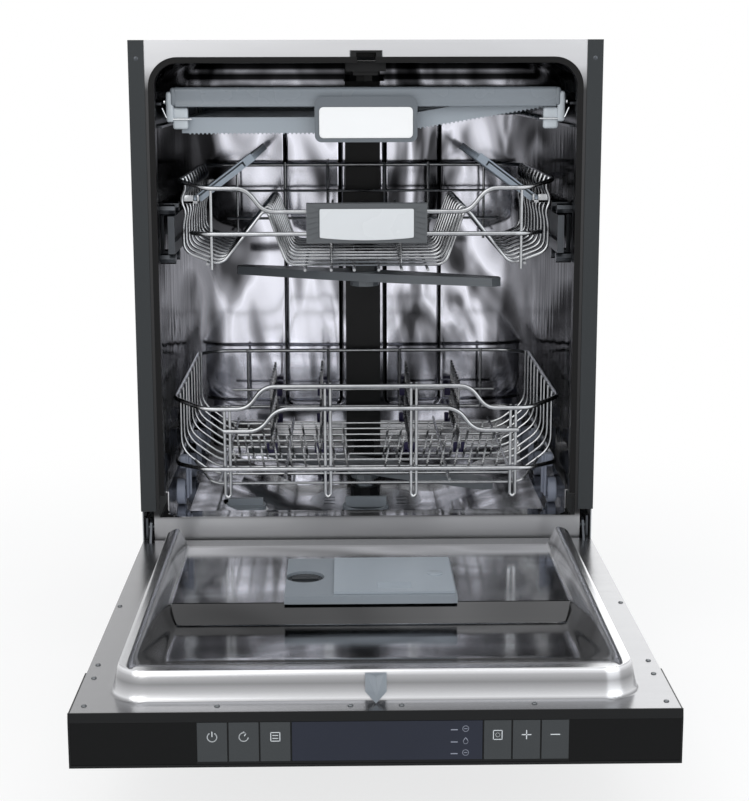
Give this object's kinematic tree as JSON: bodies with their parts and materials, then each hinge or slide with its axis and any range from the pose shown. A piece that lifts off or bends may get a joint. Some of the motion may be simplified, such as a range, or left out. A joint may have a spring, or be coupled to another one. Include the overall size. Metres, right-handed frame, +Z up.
{
  "type": "dishwasher",
  "caption": "Built-in dishwasher with hidden top-edge controls, open door, two wire baskets, cutlery tray, spray arms and dispenser.",
  "frame": {"origin": "middle of the floor area under the machine with its door open", "axes": "+Z up, +Y into the machine, +X to the right of someone facing it"},
  "size_m": [0.598, 1.152, 0.815],
  "materials": {
    "tub_steel": "polished",
    "frame_steel": "satin",
    "galvanised": "satin",
    "dark_strip": "satin",
    "seal_rubber": "matte",
    "black_plastic": "matte",
    "fascia_black": "satin",
    "key_grey": "matte",
    "display_glass": "gloss",
    "wire": "polished",
    "grey_plastic": "satin",
    "dark_grey_plastic": "satin",
    "handle_plastic": "satin",
    "navy_plastic": "satin",
    "wheel_plastic": "satin",
    "white_plastic": "gloss",
    "base_plastic": "matte",
    "spring_steel": "satin",
    "concrete": "matte",
    "board_green": "satin"
  },
  "bodies": {
    "cabinet": {"tub_wrap": "tub_steel", "tub_floor": "tub_steel", "front_frame": "frame_steel", "door_gasket": "seal_rubber", "side_strips": "dark_strip", "outer_casing": "galvanised", "base_tray": "base_plastic", "levelling_feet": "base_plastic", "counterweight": "concrete", "hinge_brackets": "galvanised", "hinge_springs": "spring_steel", "sump": "dark_grey_plastic", "filter_plate": "tub_steel", "circulation_pump": "base_plastic", "drain_pump": "base_plastic", "water_softener": "white_plastic", "inlet_valve": "white_plastic", "power_inlet": "base_plastic", "feed_duct": "black_plastic", "ceiling_duct": "black_plastic", "door_latch": "black_plastic", "wall_runners": "grey_plastic"},
    "filter": {"filter_cup": "grey_plastic"},
    "salt_lid": {"salt_cap": "dark_grey_plastic"},
    "lower_arm": {"lower_spray_arm": "dark_grey_plastic"},
    "door": {"door_liner": "tub_steel", "door_outer_panel": "galvanised", "hinge_arms": "galvanised", "fascia": "fascia_black", "display_window": "display_glass", "control_board": "board_green", "door_striker": "grey_plastic", "dispenser_body": "grey_plastic"},
    "lid": {"detergent_lid": "grey_plastic"},
    "rinse_dial": {"rinse_cap": "grey_plastic"},
    "lower_rack": {"lower_basket": "wire", "rack_clips": "navy_plastic"},
    "upper_rack": {"upper_basket": "wire", "upper_handle": "handle_plastic", "upper_feed_tube": "dark_grey_plastic"},
    "upper_arm": {"upper_spray_arm": "dark_grey_plastic"},
    "slides": {"upper_slides": "tub_steel"},
    "shelf_left": {"cup_shelf_left": "grey_plastic"},
    "shelf_right": {"cup_shelf_right": "grey_plastic"},
    "tray": {"tray_frame": "grey_plastic"},
    "insert_left": {"tray_insert_left": "grey_plastic"},
    "insert_right": {"tray_insert_right": "grey_plastic"},
    "key_1": {"button_1": "key_grey"},
    "key_2": {"button_2": "key_grey"},
    "key_3": {"button_3": "key_grey"},
    "key_4": {"button_4": "key_grey"},
    "key_5": {"button_5": "key_grey"},
    "key_6": {"button_6": "key_grey"},
    "wheels_1": {"lower_wheels_1": "wheel_plastic"},
    "wheels_2": {"lower_wheels_2": "wheel_plastic"},
    "wheels_3": {"lower_wheels_3": "wheel_plastic"},
    "tines_1": {"tine_row_1": "wire"},
    "tines_2": {"tine_row_2": "wire"},
    "tines_3": {"tine_row_3": "wire"},
    "tines_4": {"tine_row_4": "wire"}
  },
  "joints": [
    {"name": "door_hinge", "type": "hinge", "parent": "cabinet", "child": "door", "pos_m": [0, 0.0545, 0.1815], "axis": [1, 0, 0], "range_deg": [-90, 0]},
    {"name": "lower_rack_slide", "type": "slide", "parent": "cabinet", "child": "lower_rack", "axis": [0, -1, 0], "range_m": [0, 0.463]},
    {"name": "upper_rack_slide", "type": "slide", "parent": "cabinet", "child": "upper_rack", "axis": [0, -1, 0], "range_m": [0, 0.32]},
    {"name": "slides_travel", "type": "slide", "parent": "cabinet", "child": "slides", "axis": [0, -1, 0], "range_m": [0, 0.16]},
    {"name": "tray_slide", "type": "slide", "parent": "cabinet", "child": "tray", "axis": [0, -1, 0], "range_m": [0, 0.3]},
    {"name": "lower_arm_turn", "type": "hinge", "parent": "cabinet", "child": "lower_arm", "pos_m": [0, 0.282, 0.205], "axis": [0, 0, 1], "continuous": true},
    {"name": "upper_arm_turn", "type": "hinge", "parent": "upper_rack", "child": "upper_arm", "pos_m": [0, 0.282, 0.49], "axis": [0, 0, 1], "continuous": true},
    {"name": "filter_turn", "type": "hinge", "parent": "cabinet", "child": "filter", "pos_m": [0, 0.207, 0.168], "axis": [0, 0, 1], "range_deg": [0, 90]},
    {"name": "salt_lid_turn", "type": "hinge", "parent": "cabinet", "child": "salt_lid", "pos_m": [-0.168, 0.162, 0.182], "axis": [0, 0, 1], "range_deg": [0, 360]},
    {"name": "lid_slide", "type": "slide", "parent": "door", "child": "lid", "axis": [-1, 0, 0], "range_m": [0, 0.062]},
    {"name": "rinse_dial_turn", "type": "hinge", "parent": "door", "child": "rinse_dial", "pos_m": [-0.078, -0.167, 0.175], "axis": [0, 0, 1], "range_deg": [0, 90]},
    {"name": "key_1_press", "type": "slide", "parent": "door", "child": "key_1", "axis": [0, 1, 0], "range_m": [0, 0.001], "stiffness_N_per_m": 1500},
    {"name": "key_2_press", "type": "slide", "parent": "door", "child": "key_2", "axis": [0, 1, 0], "range_m": [0, 0.001], "stiffness_N_per_m": 1500},
    {"name": "key_3_press", "type": "slide", "parent": "door", "child": "key_3", "axis": [0, 1, 0], "range_m": [0, 0.001], "stiffness_N_per_m": 1500},
    {"name": "key_4_press", "type": "slide", "parent": "door", "child": "key_4", "axis": [0, 1, 0], "range_m": [0, 0.001], "stiffness_N_per_m": 1500},
    {"name": "key_5_press", "type": "slide", "parent": "door", "child": "key_5", "axis": [0, 1, 0], "range_m": [0, 0.001], "stiffness_N_per_m": 1500},
    {"name": "key_6_press", "type": "slide", "parent": "door", "child": "key_6", "axis": [0, 1, 0], "range_m": [0, 0.001], "stiffness_N_per_m": 1500},
    {"name": "wheels_1_roll", "type": "hinge", "parent": "lower_rack", "child": "wheels_1", "pos_m": [0, 0.112, 0.2158], "axis": [1, 0, 0], "continuous": true},
    {"name": "wheels_2_roll", "type": "hinge", "parent": "lower_rack", "child": "wheels_2", "pos_m": [0, 0.27, 0.2158], "axis": [1, 0, 0], "continuous": true},
    {"name": "wheels_3_roll", "type": "hinge", "parent": "lower_rack", "child": "wheels_3", "pos_m": [0, 0.445, 0.2158], "axis": [1, 0, 0], "continuous": true},
    {"name": "tines_1_fold", "type": "hinge", "parent": "lower_rack", "child": "tines_1", "pos_m": [-0.135, 0.344, 0.2463], "axis": [0, 1, 0], "range_deg": [0, 86]},
    {"name": "tines_2_fold", "type": "hinge", "parent": "lower_rack", "child": "tines_2", "pos_m": [-0.064, 0.344, 0.2463], "axis": [0, 1, 0], "range_deg": [0, 86]},
    {"name": "tines_3_fold", "type": "hinge", "parent": "lower_rack", "child": "tines_3", "pos_m": [0.064, 0.344, 0.2463], "axis": [0, -1, 0], "range_deg": [0, 86]},
    {"name": "tines_4_fold", "type": "hinge", "parent": "lower_rack", "child": "tines_4", "pos_m": [0.135, 0.344, 0.2463], "axis": [0, -1, 0], "range_deg": [0, 86]},
    {"name": "shelf_left_fold", "type": "hinge", "parent": "upper_rack", "child": "shelf_left", "pos_m": [-0.223, 0.269, 0.613], "axis": [0, -1, 0], "range_deg": [-37, 18]},
    {"name": "shelf_right_fold", "type": "hinge", "parent": "upper_rack", "child": "shelf_right", "pos_m": [0.223, 0.269, 0.613], "axis": [0, 1, 0], "range_deg": [-37, 18]},
    {"name": "insert_left_tilt", "type": "hinge", "parent": "tray", "child": "insert_left", "pos_m": [-0.03, 0.284, 0.718], "axis": [0, 1, 0], "range_deg": [0, 9.4]},
    {"name": "insert_right_tilt", "type": "hinge", "parent": "tray", "child": "insert_right", "pos_m": [0.03, 0.284, 0.718], "axis": [0, -1, 0], "range_deg": [-9.4, 0]}
  ],
  "couplings": [
    {"joint": "slides_travel", "follows": "upper_rack_slide", "ratio": 0.5},
    {"joint": "wheels_1_roll", "follows": "lower_rack_slide", "rad_per_m": 57.143},
    {"joint": "wheels_2_roll", "follows": "lower_rack_slide", "rad_per_m": 57.143},
    {"joint": "wheels_3_roll", "follows": "lower_rack_slide", "rad_per_m": 57.143}
  ]
}
